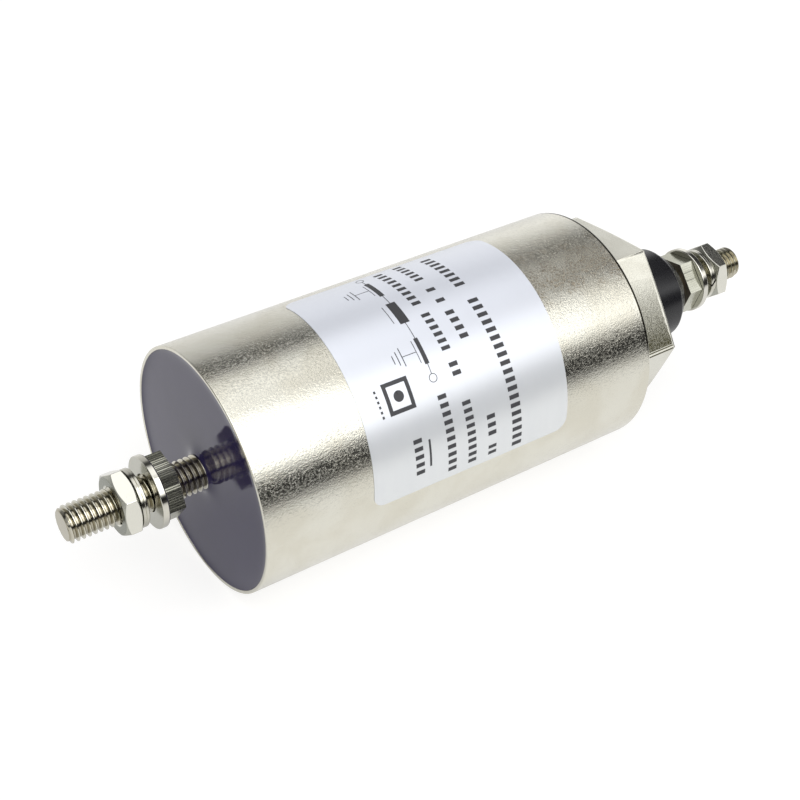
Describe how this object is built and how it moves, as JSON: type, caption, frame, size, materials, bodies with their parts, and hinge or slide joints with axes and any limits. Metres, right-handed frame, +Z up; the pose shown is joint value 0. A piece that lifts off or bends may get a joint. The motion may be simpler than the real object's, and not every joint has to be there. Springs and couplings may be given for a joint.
{
  "type": "feedthrough capacitor",
  "caption": "Round metal-cased feedthrough capacitor with a hexagonal threaded mounting fitting and a through rod that ends in screw terminals with nuts and washers.",
  "frame": {"origin": "centre of the hexagonal fitting's panel face, on the rod's axis", "axes": "+X along the rod, from the potted end out through the threaded neck; +Z up as the part lies in the picture; +Y across"},
  "size_m": [0.1834, 0.0552, 0.0552],
  "materials": {
    "can_plate": "nickel plated, mottled and drawn",
    "fitting_plate": "nickel plated, turned and milled",
    "rod_plate": "nickel plated thread",
    "nut_plate": "bright nickel plated",
    "milled_nut_plate": "nickel plated over fine cutter marks",
    "washer_plate": "bright nickel plated",
    "spring_plate": "bright plated spring steel",
    "insulator_plastic": "satin moulded thermoset",
    "resin": "glossy cast epoxy",
    "label_film": null,
    "film_winding": "wound metallised film",
    "tube_plastic": "moulded plastic",
    "contact_sheet": "bright brass sheet",
    "disc_board": "pressed insulating board",
    "liner_paper": "plain insulating paper",
    "ferrite": "matt sintered ferrite"
  },
  "bodies": {
    "root": {"case": "can_plate", "mounting_fitting": "fitting_plate", "through_rod": "rod_plate", "insulator_bushing": "insulator_plastic", "potting_resin": "resin", "label": "label_film", "front_inner_nut": "milled_nut_plate", "front_flat_washer": "washer_plate", "front_spring_washer": "spring_plate", "front_outer_nut": "nut_plate", "back_inner_nut": "milled_nut_plate", "back_flat_washer": "washer_plate", "back_spring_washer": "spring_plate", "back_outer_nut": "nut_plate", "front_winding": "film_winding", "front_winding_tube": "tube_plastic", "front_rod_contact": "contact_sheet", "front_case_contact": "contact_sheet", "back_winding": "film_winding", "back_winding_tube": "tube_plastic", "back_rod_contact": "contact_sheet", "back_case_contact": "contact_sheet", "choke_core": "ferrite", "choke_sleeve": "tube_plastic", "front_insulating_disc": "disc_board", "front_choke_disc": "disc_board", "back_choke_disc": "disc_board", "back_insulating_disc": "disc_board", "case_liner": "liner_paper"}
  },
  "joints": []
}
